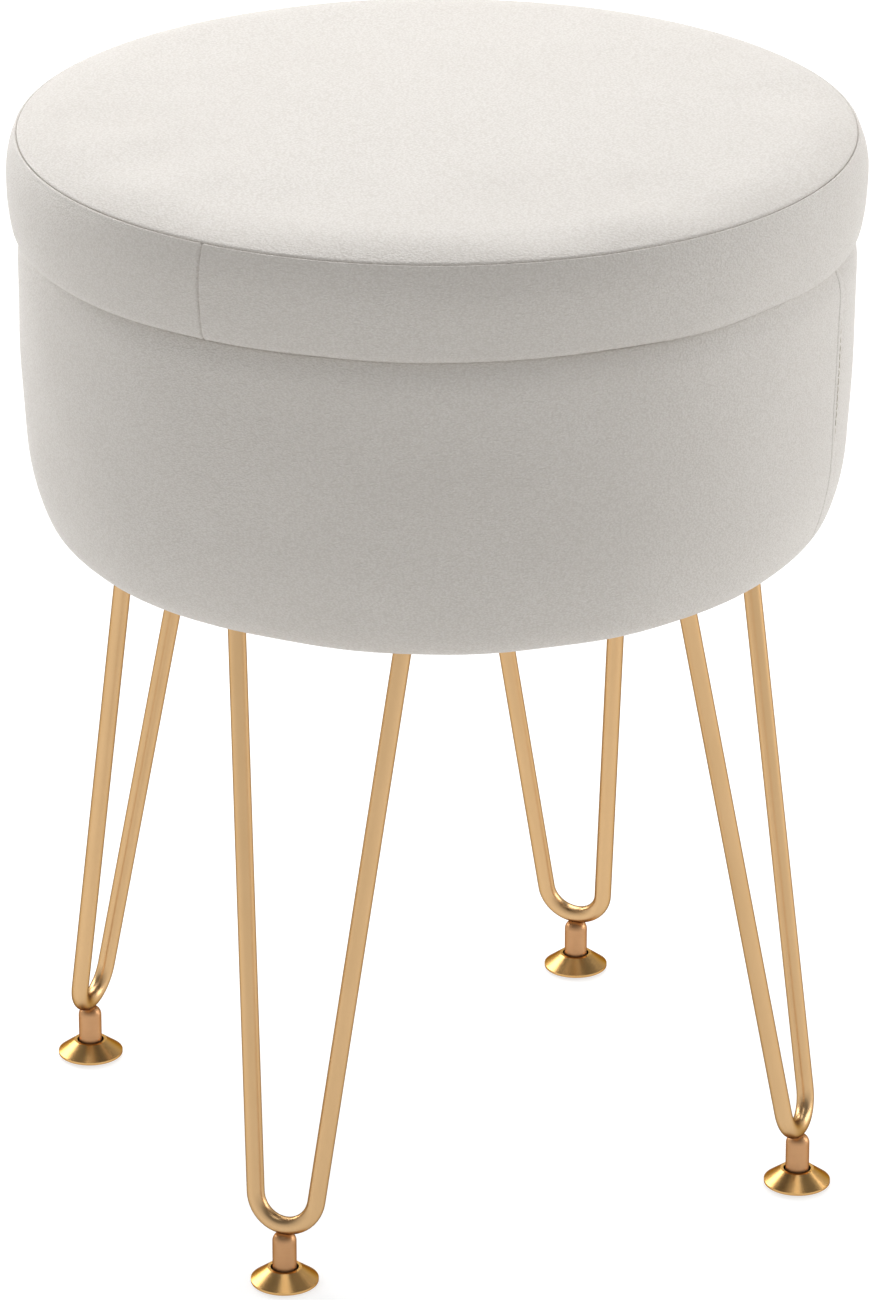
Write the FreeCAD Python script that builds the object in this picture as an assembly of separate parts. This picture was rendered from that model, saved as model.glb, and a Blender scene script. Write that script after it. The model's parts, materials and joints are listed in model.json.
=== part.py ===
# Round storage ottoman: padded lift-off lid, upholstered drum, four hairpin legs on levelling feet.
# Millimetres, +Z up, origin on the floor under the middle of the drum.
# One leg stands on each axis: right on +X, back on +Y, left on -X, front on -Y.
import FreeCAD
import Part
import math
import os

# Covers, linings and foam
cover_thickness = 1.2  # upholstery fabric with its backing
lining_thickness = 0.8  # non-woven lining
layer_gap = 0.15  # between two layers that lie on one another round a curve

# Lid
lid_overhang = 3.9  # widest part of the side band beyond the rim of the drum
band_height = 43.5  # underside of the lid to the top seam
band_widest = 26.2  # underside of the lid to the widest part of the band
seam_inset = 4.1  # how far the top seam is drawn in
band_lower_radius = 85.0  # bulge of the band below its widest part
hem_fold_radius = 4.0  # turn of the band under the lid
edge_drop = 6.2  # fall of the top panel over its soft edge
edge_width = 28.0  # width of that soft edge
crown_rise = 1.8  # rise of the top panel inside the soft edge
lid_board_thickness = 12.0
lid_board_margin = 6.0  # foam between the board and the fold of the hem
lid_hem_overlap = 15.0  # hem held under the locating disc
locating_disc_thickness = 12.0
locating_disc_round = 5.0  # rounded lower edge that leads the disc into the drum
locating_clearance = 2.4  # lined disc to the inside of the drum, all round
lid_rest_gap = 0.3  # pile of the two covers between the lid and the rim

# Drum
underside_height = 301.2  # floor to the underside of the drum
drum_height = 142.3  # underside to rim
drum_radius = 186.4  # at the rim
rim_band = 19.4  # upright stretch below the rim
wall_draw_in = 2.55  # how far the wall draws in above the shoulder
shoulder_radius = 124.0
shoulder_turn = 19.9  # degrees that wall and shoulder have turned where the corner starts
corner_radius = 23.4
rim_roll = 5.0  # rounded outer edge of the rim
rim_inner_roll = 4.0  # rounded inner edge of the rim
rim_padding = 2.0  # foam over the top edge of the plywood
padding_thickness = 16.0  # foam between plywood and cover
corner_padding = 4.0  # foam left at the lower corner
wall_thickness = 6.0  # bent plywood
base_board_thickness = 18.0
turn_in_depth = 25.0  # cover turned down inside the rim
floor_panel_thickness = 2.0
dust_cover_margin = 4.0  # dust cover to the leg plates
dust_cover_overlap = 10.0  # dust cover over the hem of the drum cover

# Hairpin legs
leg_names = ("right", "back", "left", "front")  # evenly round the drum, from +X
rod_diameter = 8.0
rod_spacing = 79.2  # between the two rod ends at the plate
bend_radius = 14.75  # middle line of the bend
bend_height = 28.6  # floor to the middle line at the lowest point of the bend
leg_splay = 9.34  # degrees outwards
leg_inset = 52.3  # rods inside the rim of the drum, where they meet their plates
plate_thickness = 3.0
plate_overhang = 7.4  # plate beyond the middle of each rod
plate_width = 28.0
plate_corner = 10.0
plate_setback = 2.7  # middle of the plate inside the leg circle
screw_pitch_along = 40.0  # leg screws along the plate
screw_pitch_across = 13.0

# Fasteners
leg_screw_diameter = 6.0
leg_screw_end_gap = 2.2  # end of the screw below the top of the base board
leg_screw_head_diameter = 11.0
leg_screw_head_height = 3.2
screw_play = 0.3  # radial, in plates and covers
thread_play = 0.05  # radial, in threads
tee_nut_diameter = 7.8
tee_nut_length = 10.0
tee_nut_flange_diameter = 18.0
tee_nut_flange_thickness = 1.2
tee_nut_play = 0.1
lid_screw_count = 4
lid_screw_diameter = 4.0
lid_screw_head_diameter = 8.0
lid_screw_head_height = 2.2
lid_screw_bite = 9.0  # length in the lid board
lid_screw_inset = 28.0  # screws inside the hem of the lid

# Levelling feet
socket_diameter = 10.8
socket_round = 4.6  # rounded top
socket_edge = 1.0  # rounded lower edge
saddle_depth = 0.9  # how far the socket reaches up round the rod
socket_cap = 2.5  # metal left over the end of the thread
stud_diameter = 6.0
stud_end_gap = 0.3
stud_chamfer = 0.8
stud_head_thickness = 1.5
stud_head_gap = 2.0  # stud head to the lower end of the socket
cup_radius = 15.2
cup_wall = 1.4  # measured level
cup_clearance = 1.0  # floor to the rim of the cup
cup_rim_height = 1.4
cup_height = 8.0  # floor to the neck of the cup
cup_neck_gap = 0.9  # socket to the neck of the cup
cup_edge = 0.5  # rounded edges of the rim
glide_thickness = 2.6
glide_inset = 0.8  # glide inside the rim of the cup
glide_edge = 0.8
glide_play = 0.1  # glide to stud head

# Levels that follow
plate_underside = underside_height - plate_thickness
base_underside = underside_height + cover_thickness
base_top = base_underside + base_board_thickness
rim_height = underside_height + drum_height
lid_underside = rim_height + lid_rest_gap
lid_board_underside = lid_underside + cover_thickness
lid_board_top = lid_board_underside + lid_board_thickness
widest_height = lid_underside + band_widest
seam_height = lid_underside + band_height
edge_height = seam_height + edge_drop
crown_height = edge_height + crown_rise
disc_underside = lid_underside - locating_disc_thickness
wall_top = rim_height - cover_thickness - rim_padding
turn_in_end = rim_height - turn_in_depth

# Radii that follow
lid_radius = drum_radius + lid_overhang
wall_outside = drum_radius - cover_thickness - padding_thickness
wall_inside = wall_outside - wall_thickness
cavity_radius = wall_inside - layer_gap - cover_thickness
disc_radius = cavity_radius - locating_clearance - lining_thickness
lid_hem_end = disc_radius - lid_hem_overlap
lid_screw_circle = lid_hem_end - lid_screw_inset
leg_circle = drum_radius - leg_inset
plate_centre = leg_circle - plate_setback
plate_length = rod_spacing + 2 * plate_overhang
dust_cover_radius = plate_centre - plate_width / 2 - dust_cover_margin
drum_hem_end = dust_cover_radius - dust_cover_overlap
rod_radius = rod_diameter / 2
foot_circle = leg_circle + (plate_underside - bend_height) * math.tan(math.radians(leg_splay))


# Drawing helpers: outlines lie in the plane of radius and height and are spun about the Z axis

def spot(place):
    return FreeCAD.Vector(place[0], 0, place[1])


def at(centre, radius, degrees):
    angle = math.radians(degrees)
    return (centre[0] + radius * math.cos(angle), centre[1] + radius * math.sin(angle))


def arc(centre, radius, start, end):
    return (at(centre, radius, (start + end) / 2), at(centre, radius, end))


def path_edges(path):
    edges = []
    here = path[0]
    for step in path[1:]:
        there = step[-1]
        if len(step) == 2:
            edges.append(Part.Arc(spot(here), spot(step[0]), spot(there)).toShape())
        elif math.dist(here, there) > 1e-6:
            edges.append(Part.makeLine(spot(here), spot(there)))
        here = there
    return edges


def spin(edges):
    face = Part.Face(Part.Wire(Part.__sortEdges__(edges)))
    return face.revolve(FreeCAD.Vector(0, 0, 0), FreeCAD.Vector(0, 0, 1), 360)


def lathe(path):
    return spin(path_edges(path + [(path[0],)]))


def strip(outer, inner):
    # a thin layer between two parallel outlines
    ends = [Part.makeLine(spot(outer[0]), spot(inner[0]))]
    ends.append(Part.makeLine(spot(outer[-1][-1]), spot(inner[-1][-1])))
    return spin(path_edges(outer) + path_edges(inner) + ends)


def rod(radius, bottom, top, x=0, y=0):
    return Part.makeCylinder(radius, top - bottom, FreeCAD.Vector(x, y, bottom))


def ring(inside, outside, bottom, top):
    return rod(outside, bottom, top).cut(rod(inside, bottom, top))


def around(shape, step):
    turned = shape.copy()
    turned.rotate(FreeCAD.Vector(0, 0, 0), FreeCAD.Vector(0, 0, 1), step * 360 / len(leg_names))
    return turned


def meeting(centre_a, radius_a, centre_b, radius_b):
    # the outer crossing of two circles
    gap = math.dist(centre_a, centre_b)
    along = (radius_a ** 2 - radius_b ** 2 + gap ** 2) / (2 * gap)
    aside = math.sqrt(radius_a ** 2 - along ** 2)
    way = ((centre_b[0] - centre_a[0]) / gap, (centre_b[1] - centre_a[1]) / gap)
    foot = (centre_a[0] + along * way[0], centre_a[1] + along * way[1])
    sides = [(foot[0] - aside * way[1], foot[1] + aside * way[0])]
    sides.append((foot[0] + aside * way[1], foot[1] - aside * way[0]))
    return max(sides)


def bearing(centre, place):
    return math.degrees(math.atan2(place[1] - centre[1], place[0] - centre[0]))


# Lid outline: two arcs over the top, two round the side, one under the hem

seam_radius = lid_radius - seam_inset
flat_radius = seam_radius - edge_width
flat_slope = 2 * math.atan(crown_rise / flat_radius)
crown_radius = flat_radius / math.sin(flat_slope)
crown_centre = (0, crown_height - crown_radius)
edge_turn = 2 * (math.atan(edge_drop / edge_width) - flat_slope)
edge_radius = math.hypot(edge_width, edge_drop) / (2 * math.sin(edge_turn / 2))
edge_centre = (flat_radius - edge_radius * math.sin(flat_slope),
               edge_height - edge_radius * math.cos(flat_slope))
band_rise = seam_height - widest_height
band_upper_radius = (band_rise ** 2 + seam_inset ** 2) / (2 * seam_inset)
band_upper_centre = (lid_radius - band_upper_radius, widest_height)
band_lower_centre = (lid_radius - band_lower_radius, widest_height)
fold_height = lid_underside + hem_fold_radius
fold_turn = math.asin((widest_height - fold_height) / (band_lower_radius - hem_fold_radius))
fold_centre = (band_lower_centre[0] + (band_lower_radius - hem_fold_radius) * math.cos(fold_turn), fold_height)
lid_board_radius = fold_centre[0] - lid_board_margin


def seam_at(inset):
    return meeting(edge_centre, edge_radius - inset, band_upper_centre, band_upper_radius - inset)


def top_path(inset):
    slope = 90 - math.degrees(flat_slope)
    seam_angle = bearing(edge_centre, seam_at(inset))
    return [
        (0, crown_height - inset),
        arc(crown_centre, crown_radius - inset, 90, slope),
        arc(edge_centre, edge_radius - inset, slope, seam_angle),
    ]


def band_path(inset, end_radius):
    seam_angle = bearing(band_upper_centre, seam_at(inset))
    turn = -math.degrees(fold_turn)
    return [
        seam_at(inset),
        arc(band_upper_centre, band_upper_radius - inset, seam_angle, 0),
        arc(band_lower_centre, band_lower_radius - inset, 0, turn),
        arc(fold_centre, hem_fold_radius - inset, turn, -90),
        ((end_radius, lid_underside + inset),),
    ]


def lid_screw_places():
    places = []
    for number in range(lid_screw_count):
        places.append(at((0, 0), lid_screw_circle, (number + 0.5) * 360 / lid_screw_count))
    return places


def lid_screw_holes(radius):
    holes = []
    for x, y in lid_screw_places():
        holes.append(rod(radius, disc_underside - lining_thickness, lid_board_underside + lid_screw_bite, x, y))
    return Part.Compound(holes)


def lid_top_panel():
    return strip(top_path(0), top_path(cover_thickness))


def lid_side_band():
    return strip(band_path(0, lid_hem_end), band_path(cover_thickness, lid_hem_end))


def lid_foam():
    inset = cover_thickness + layer_gap
    pad = lathe(top_path(inset) + band_path(inset, 0)[1:])
    return pad.cut(rod(lid_board_radius + layer_gap, lid_underside, lid_board_top))


def lid_board():
    board = rod(lid_board_radius, lid_board_underside, lid_board_top)
    return board.cut(lid_screw_holes(lid_screw_diameter / 2 + thread_play))


def disc_path(grow):
    # lower half of the locating disc, from the middle of its underside to its top edge
    centre = (disc_radius - locating_disc_round, disc_underside + locating_disc_round)
    round_radius = locating_disc_round + grow
    return [
        (0, disc_underside - grow),
        ((centre[0], disc_underside - grow),),
        arc(centre, round_radius, -90, 0),
        ((disc_radius + grow, lid_underside),),
    ]


def lid_locating_disc():
    disc = lathe(disc_path(-layer_gap) + [((0, lid_underside),)])
    return disc.cut(lid_screw_holes(lid_screw_diameter / 2 + screw_play))


def lid_lining():
    skin = strip(disc_path(lining_thickness), disc_path(0))
    return skin.cut(lid_screw_holes(lid_screw_diameter / 2 + screw_play))


def lid_screws():
    head_top = disc_underside - lining_thickness
    head_radius = lid_screw_head_diameter / 2
    screws = []
    for x, y in lid_screw_places():
        head = rod(head_radius, head_top - lid_screw_head_height, head_top, x, y)
        head = head.makeFillet(lid_screw_head_height / 2, [head.Edges[2]])
        shank = rod(lid_screw_diameter / 2, head_top, lid_board_underside + lid_screw_bite, x, y)
        screws.append(head.fuse(shank))
    return Part.Compound(screws)


# Drum outline: an upright rim band, then three tangent arcs down to the flat underside

turned = math.radians(shoulder_turn)
wall_span = drum_height - rim_band - corner_radius - (shoulder_radius - corner_radius) * math.sin(turned)
wall_turn = 2 * math.atan(wall_draw_in / wall_span)
for _ in range(40):  # the wall and the shoulder share the height, so their turn settles step by step
    wall_turn = 2 * math.atan(wall_draw_in / (wall_span + shoulder_radius * math.sin(wall_turn)))
wall_radius = wall_draw_in / (1 - math.cos(wall_turn))
wall_centre = (drum_radius - wall_radius, rim_height - rim_band)
shoulder_centre = at(wall_centre, wall_radius - shoulder_radius, -math.degrees(wall_turn))
corner_centre = at(shoulder_centre, shoulder_radius - corner_radius, -shoulder_turn)
rim_centre = (drum_radius - rim_roll, rim_height - rim_roll)
rim_inner_centre = (cavity_radius + rim_inner_roll, rim_height - rim_inner_roll)


def wall_path(inset, start_radius):
    # from under the base up to the top of the curved wall
    wall_end = -math.degrees(wall_turn)
    return [
        (start_radius, underside_height + inset),
        ((corner_centre[0], underside_height + inset),),
        arc(corner_centre, corner_radius - inset, -90, -shoulder_turn),
        arc(shoulder_centre, shoulder_radius - inset, -shoulder_turn, wall_end),
        arc(wall_centre, wall_radius - inset, wall_end, 0),
    ]


def rim_path(inset, end_height):
    # from the top of the curved wall over the rim and down its inside
    return [
        ((drum_radius - inset, rim_centre[1]),),
        arc(rim_centre, rim_roll - inset, 0, 90),
        ((rim_inner_centre[0], rim_height - inset),),
        arc(rim_inner_centre, rim_inner_roll - inset, 90, 180),
        ((cavity_radius + inset, end_height),),
    ]


def drum_path(inset, start_radius, end_height):
    return wall_path(inset, start_radius) + rim_path(inset, end_height)


def plate_screw_places():
    # across the four leg plates
    places = []
    for step in range(len(leg_names)):
        for along in (-0.5, 0.5):
            for across in (-0.5, 0.5):
                place = FreeCAD.Vector(plate_centre + across * screw_pitch_across, along * screw_pitch_along, 0)
                angle = math.radians(step * 360 / len(leg_names))
                x = place.x * math.cos(angle) - place.y * math.sin(angle)
                y = place.x * math.sin(angle) + place.y * math.cos(angle)
                places.append((x, y))
    return places


def plate_screw_holes(radius, bottom, top):
    return Part.Compound([rod(radius, bottom, top, x, y) for x, y in plate_screw_places()])


def drum_cover():
    outer = drum_path(0, drum_hem_end, turn_in_end)
    inner = drum_path(cover_thickness, drum_hem_end, turn_in_end)
    holes = plate_screw_holes(leg_screw_diameter / 2 + screw_play, underside_height, base_underside)
    return strip(outer, inner).cut(holes)


def timber_block(grow=0):
    # the space that plywood and base board fill: flat on the hem, with foam left round the corner
    inset = cover_thickness + corner_padding - grow
    path = wall_path(inset, 0) + [((drum_radius - inset, rim_height),), ((0, rim_height),)]
    block = lathe(path)
    block.translate(FreeCAD.Vector(0, 0, -corner_padding))
    return block


def drum_wall():
    return ring(wall_inside, wall_outside, base_underside, wall_top).common(timber_block())


def base_board():
    board = rod(wall_inside - layer_gap, base_underside, base_top).common(timber_block())
    barrel = tee_nut_diameter / 2 + tee_nut_play
    flange = tee_nut_flange_diameter / 2 + tee_nut_play
    holes = plate_screw_holes(barrel, base_underside, base_top)
    recesses = plate_screw_holes(flange, base_top - tee_nut_flange_thickness, base_top)
    return board.cut(holes).cut(recesses)


def drum_padding():
    inset = cover_thickness + layer_gap
    inner_end = rim_height - rim_inner_roll
    pad = lathe(drum_path(inset, 0, inner_end) + [((0, inner_end),)])
    pad = pad.cut(rod(wall_inside, underside_height, rim_height))
    wall_space = ring(wall_inside, wall_outside + layer_gap, base_underside - layer_gap, wall_top)
    return pad.cut(wall_space.common(timber_block(layer_gap)))


def drum_lining():
    outside = wall_inside - layer_gap
    return ring(outside - lining_thickness, outside, base_top, turn_in_end)


def floor_panel():
    outside = wall_inside - 2 * layer_gap - lining_thickness
    return rod(outside, base_top, base_top + floor_panel_thickness)


def dust_cover():
    return rod(dust_cover_radius, underside_height - lining_thickness, underside_height)


def leg_screws():
    screws = []
    head_bottom = plate_underside - leg_screw_head_height
    for x, y in plate_screw_places():
        head = rod(leg_screw_head_diameter / 2, head_bottom, plate_underside, x, y)
        head = head.makeFillet(leg_screw_head_height / 2, [head.Edges[2]])
        shank = rod(leg_screw_diameter / 2, plate_underside, base_top - leg_screw_end_gap, x, y)
        screws.append(head.fuse(shank))
    return Part.Compound(screws)


def tee_nuts():
    nuts = []
    bore = leg_screw_diameter / 2 + thread_play
    for x, y in plate_screw_places():
        flange = rod(tee_nut_flange_diameter / 2, base_top - tee_nut_flange_thickness, base_top, x, y)
        barrel = rod(tee_nut_diameter / 2, base_top - tee_nut_length, base_top, x, y)
        nuts.append(flange.fuse(barrel).cut(rod(bore, base_top - tee_nut_length, base_top, x, y)))
    return Part.Compound(nuts)


# Legs, drawn on the +X axis and turned into place

splay = math.radians(leg_splay)
bend_centre_height = bend_height + bend_radius * math.cos(splay)
bend_centre_radius = foot_circle - bend_radius * math.sin(splay)
rod_run = (plate_underside - bend_centre_height) / math.cos(splay)
rod_lean = math.atan2(rod_spacing / 2, rod_run)
rod_lean -= math.asin(bend_radius / math.hypot(rod_spacing / 2, rod_run))


def on_hairpin(across, along):
    # a point of the leaning plane of the hairpin, measured from the middle of its bend
    x = bend_centre_radius - along * math.sin(splay)
    return FreeCAD.Vector(x, across, bend_centre_height + along * math.cos(splay))


def leg_hairpin():
    overrun = rod_diameter
    reach = rod_spacing / 2 + overrun * math.sin(rod_lean)
    high = rod_run + overrun * math.cos(rod_lean)
    start = on_hairpin(-reach, high)
    bend_side = bend_radius * math.cos(rod_lean)
    bend_drop = -bend_radius * math.sin(rod_lean)
    bend_start = on_hairpin(-bend_side, bend_drop)
    bend_end = on_hairpin(bend_side, bend_drop)
    runs = [
        Part.makeLine(start, bend_start),
        Part.Arc(bend_start, on_hairpin(0, -bend_radius), bend_end).toShape(),
        Part.makeLine(bend_end, on_hairpin(reach, high)),
    ]
    section = Part.Wire([Part.makeCircle(rod_radius, start, bend_start - start)])
    bar = Part.Wire(runs).makePipeShell([section], True, False)
    return bar.cut(rod(foot_circle + plate_length, plate_underside, plate_underside + 4 * overrun))


def leg_plate():
    corner = FreeCAD.Vector(plate_centre - plate_width / 2, -plate_length / 2, plate_underside)
    plate = Part.makeBox(plate_width, plate_length, plate_thickness, corner)
    upright = [edge for edge in plate.Edges if abs(edge.tangentAt(edge.FirstParameter).z) > 0.5]
    plate = plate.makeFillet(plate_corner, upright)
    hole_radius = leg_screw_diameter / 2 + screw_play
    return plate.cut(plate_screw_holes(hole_radius, plate_underside, underside_height))


# Levelling feet, drawn on the Z axis and moved under the bend

stud_radius = stud_diameter / 2
socket_radius = socket_diameter / 2
rod_underside = bend_height - rod_radius
bore_top = rod_underside - socket_cap
socket_top = rod_underside + saddle_depth
stud_head_top = glide_thickness + stud_head_thickness
socket_bottom = stud_head_top + stud_head_gap
cup_rim_top = cup_clearance + cup_rim_height
neck_radius = socket_radius + cup_neck_gap + cup_wall


def cup_outside(height):
    # radius of the cup's cone at a height
    share = (height - cup_rim_top) / (cup_height - cup_rim_top)
    return cup_radius + share * (neck_radius - cup_radius)


def under_bend(shape):
    shape.translate(FreeCAD.Vector(foot_circle, 0, 0))
    return shape


def foot_socket():
    bore = stud_radius + thread_play
    path = [
        (bore, socket_bottom),
        ((socket_radius - socket_edge, socket_bottom),),
        arc((socket_radius - socket_edge, socket_bottom + socket_edge), socket_edge, -90, 0),
        ((socket_radius, socket_top - socket_round),),
        arc((socket_radius - socket_round, socket_top - socket_round), socket_round, 0, 90),
        ((0, socket_top),),
        ((0, bore_top),),
        ((bore, bore_top),),
    ]
    return under_bend(lathe(path)).cut(leg_hairpin())


def foot_stud():
    head_radius = cup_outside(stud_head_top) - cup_wall - layer_gap
    tip = bore_top - stud_end_gap
    path = [
        (0, glide_thickness),
        ((head_radius, glide_thickness),),
        ((head_radius, stud_head_top),),
        ((stud_radius, stud_head_top),),
        ((stud_radius, tip - stud_chamfer),),
        ((stud_radius - stud_chamfer, tip),),
        ((0, tip),),
    ]
    return under_bend(lathe(path))


def foot_cup():
    rim_centre_low = (cup_radius - cup_edge, cup_clearance + cup_edge)
    path = [
        (cup_radius - cup_wall, cup_clearance),
        ((rim_centre_low[0], cup_clearance),),
        arc(rim_centre_low, cup_edge, -90, 0),
        ((cup_radius, cup_rim_top),),
        ((neck_radius, cup_height),),
        ((neck_radius - cup_wall, cup_height),),
        ((cup_radius - cup_wall, cup_rim_top),),
    ]
    return under_bend(lathe(path))


def foot_glide():
    radius = cup_radius - cup_wall - glide_inset
    top = glide_thickness - glide_play
    path = [
        (0, 0),
        ((radius - glide_edge, 0),),
        arc((radius - glide_edge, glide_edge), glide_edge, -90, 0),
        ((radius, top),),
        ((0, top),),
    ]
    return under_bend(lathe(path))


def all_nodes():
    single = (lid_top_panel, lid_side_band, lid_foam, lid_board, lid_locating_disc, lid_lining, lid_screws,
              drum_cover, drum_padding, drum_wall, base_board, drum_lining, floor_panel, dust_cover,
              leg_screws, tee_nuts)
    repeated = (leg_plate, leg_hairpin, foot_socket, foot_stud, foot_cup, foot_glide)
    nodes = {}
    for make in single:
        nodes[make.__name__] = make()
    for make in repeated:
        first = make()
        for step, name in enumerate(leg_names):
            nodes[make.__name__ + "_" + name] = around(first, step)
    return nodes


os.makedirs("parts", exist_ok=True)
for node, shape in all_nodes().items():
    shape.exportStep("parts/" + node + ".step")
    print(node, len(shape.Solids), "solids", round(shape.Volume / 1000, 2), "cm3", shape.isValid())
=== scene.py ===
# Round storage ottoman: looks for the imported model, in metres, +Z up
import bpy
import json
import math
import numpy as np
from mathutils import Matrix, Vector


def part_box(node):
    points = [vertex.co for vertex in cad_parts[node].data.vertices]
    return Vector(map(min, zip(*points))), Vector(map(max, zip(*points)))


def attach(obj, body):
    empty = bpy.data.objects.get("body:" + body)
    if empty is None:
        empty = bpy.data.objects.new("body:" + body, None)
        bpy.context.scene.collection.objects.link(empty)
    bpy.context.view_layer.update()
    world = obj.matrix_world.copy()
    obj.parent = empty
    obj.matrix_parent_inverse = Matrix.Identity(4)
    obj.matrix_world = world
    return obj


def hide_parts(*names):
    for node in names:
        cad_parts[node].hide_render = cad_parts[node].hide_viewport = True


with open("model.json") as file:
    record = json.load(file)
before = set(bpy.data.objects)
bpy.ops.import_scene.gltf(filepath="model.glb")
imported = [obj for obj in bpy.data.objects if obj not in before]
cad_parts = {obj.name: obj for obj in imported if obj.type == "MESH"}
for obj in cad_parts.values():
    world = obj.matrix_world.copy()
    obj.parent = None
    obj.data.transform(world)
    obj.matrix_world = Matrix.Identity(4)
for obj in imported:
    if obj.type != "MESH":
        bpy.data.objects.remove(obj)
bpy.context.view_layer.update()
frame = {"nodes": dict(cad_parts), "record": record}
mm = 0.001
legAngles = {"right": 0, "back": 90, "left": 180, "front": 270}  # degrees round the drum, from +X
print("frame loaded:", len(frame["nodes"]), "nodes")


# Materials

def linear(code):
    # sRGB hex to linear colour
    parts = [int(code[i:i + 2], 16) / 255 for i in (1, 3, 5)]
    return [c / 12.92 if c <= 0.04045 else ((c + 0.055) / 1.055) ** 2.4 for c in parts] + [1.0]


def addNode(tree, kind, links=None, **settings):
    node = tree.nodes.new("ShaderNode" + kind)
    for name, value in settings.items():
        setattr(node, name, value)
    for socket, value in (links or {}).items():
        if isinstance(value, bpy.types.NodeSocket):
            tree.links.new(value, node.inputs[socket])
        else:
            node.inputs[socket].default_value = value
    return node


def newMaterial(name):
    material = bpy.data.materials.new(name)
    material.use_nodes = True
    material.node_tree.nodes.clear()
    place = addNode(material.node_tree, "TexCoord").outputs["Object"]  # metres, so scales are 1 / real size
    return material, material.node_tree, place


def puLeather():
    # PU leather: polyurethane film embossed with a fine pebble grain over a knit backing.
    # Matt off-white; the pebbles break up the light a little and the highlight is broad and soft; the valleys
    # between them are painted darker, as shade.
    look = {"colour": "#D8D4CF", "shade": "#D1CCC6", "paintedValleyShade": "#C4BEB7", "pebble": 0.95 * mm,
            "creases": 0.6 * mm, "mottle": 60 * mm, "height": 0.24 * mm, "rough": (0.44, 0.58),
            "run": (0.85, 0.85, 1.4)}  # pebbles lie a little wider than tall
    material, tree, place = newMaterial("puLeatherOffWhite")
    place = addNode(tree, "Mapping", {"Vector": place, "Scale": look["run"]}).outputs[0]
    sway = addNode(tree, "TexNoise", {"Vector": place, "Scale": 1 / (3 * look["pebble"]), "Detail": 1.0})
    bent = addNode(tree, "VectorMath", {0: sway.outputs["Color"], 1: (look["pebble"],) * 3, 2: place},
                   operation="MULTIPLY_ADD")
    pebbles = addNode(tree, "TexVoronoi", {"Vector": bent.outputs[0], "Scale": 1 / look["pebble"],
                                           "Smoothness": 0.3}, feature="SMOOTH_F1")
    creases = addNode(tree, "TexNoise", {"Vector": place, "Scale": 1 / look["creases"], "Detail": 2.0})
    grain = addNode(tree, "Math", {0: creases.outputs[0], 1: 0.5, 2: pebbles.outputs["Distance"]},
                    operation="MULTIPLY_ADD")
    mottle = addNode(tree, "TexNoise", {"Vector": place, "Scale": 1 / look["mottle"], "Detail": 3.0})
    tone = addNode(tree, "Mix", {0: mottle.outputs[0], 6: linear(look["colour"]), 7: linear(look["shade"])},
                   data_type="RGBA")
    # painted shade: the colour darkens towards the darker valley colour where the grain sinks between the
    # pebbles, standing in for the shade in the grain's pits
    depth = addNode(tree, "MapRange", {"Value": grain.outputs[0], "From Min": 0.45, "From Max": 0.95,
                                       "To Min": 0.0, "To Max": 0.75})
    colour = addNode(tree, "Mix", {0: depth.outputs[0], 6: tone.outputs[2], 7: linear(look["paintedValleyShade"])},
                     data_type="RGBA")
    rough = addNode(tree, "MapRange", {"Value": grain.outputs[0], "From Min": 0.3, "From Max": 1.0,
                                       "To Min": look["rough"][0], "To Max": look["rough"][1]})
    bump = addNode(tree, "Bump", {"Strength": 1.0, "Distance": look["height"], "Height": grain.outputs[0]},
                   invert=True)
    shader = addNode(tree, "BsdfPrincipled", {"Base Color": colour.outputs[2], "Roughness": rough.outputs[0],
                                              "IOR": 1.48, "Normal": bump.outputs[0]})
    addNode(tree, "OutputMaterial", {"Surface": shader.outputs[0]})
    return material


def champagneGold(name, look):
    # Steel, plated champagne gold and lacquered: satin, warm and even, with hairlines along the drawn
    # or turned face. Real hairlines are finer: they are drawn this wide so that they show.
    material, tree, place = newMaterial(name)
    stretched = addNode(tree, "Mapping", {"Vector": place, "Scale": look["run"]})
    lines = addNode(tree, "TexNoise", {"Vector": stretched.outputs[0], "Scale": 1 / look["hairline"],
                                       "Detail": 2.0})
    cloud = addNode(tree, "TexNoise", {"Vector": place, "Scale": 1 / look["cloud"], "Detail": 2.0})
    colour = addNode(tree, "Mix", {0: cloud.outputs[0], 6: linear(look["colour"]), 7: linear(look["shade"])},
                     data_type="RGBA")
    rough = addNode(tree, "MapRange", {"Value": lines.outputs[0], "From Min": 0.3, "From Max": 0.7,
                                       "To Min": look["rough"][0], "To Max": look["rough"][1]})
    bump = addNode(tree, "Bump", {"Strength": 0.3, "Distance": look["depth"], "Height": lines.outputs[0]})
    shader = addNode(tree, "BsdfPrincipled", {"Base Color": colour.outputs[2], "Metallic": 1.0,
                                              "Roughness": rough.outputs[0], "Normal": bump.outputs[0],
                                              "Specular Tint": linear(look["edge"])})
    addNode(tree, "OutputMaterial", {"Surface": shader.outputs[0]})
    return material


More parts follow.
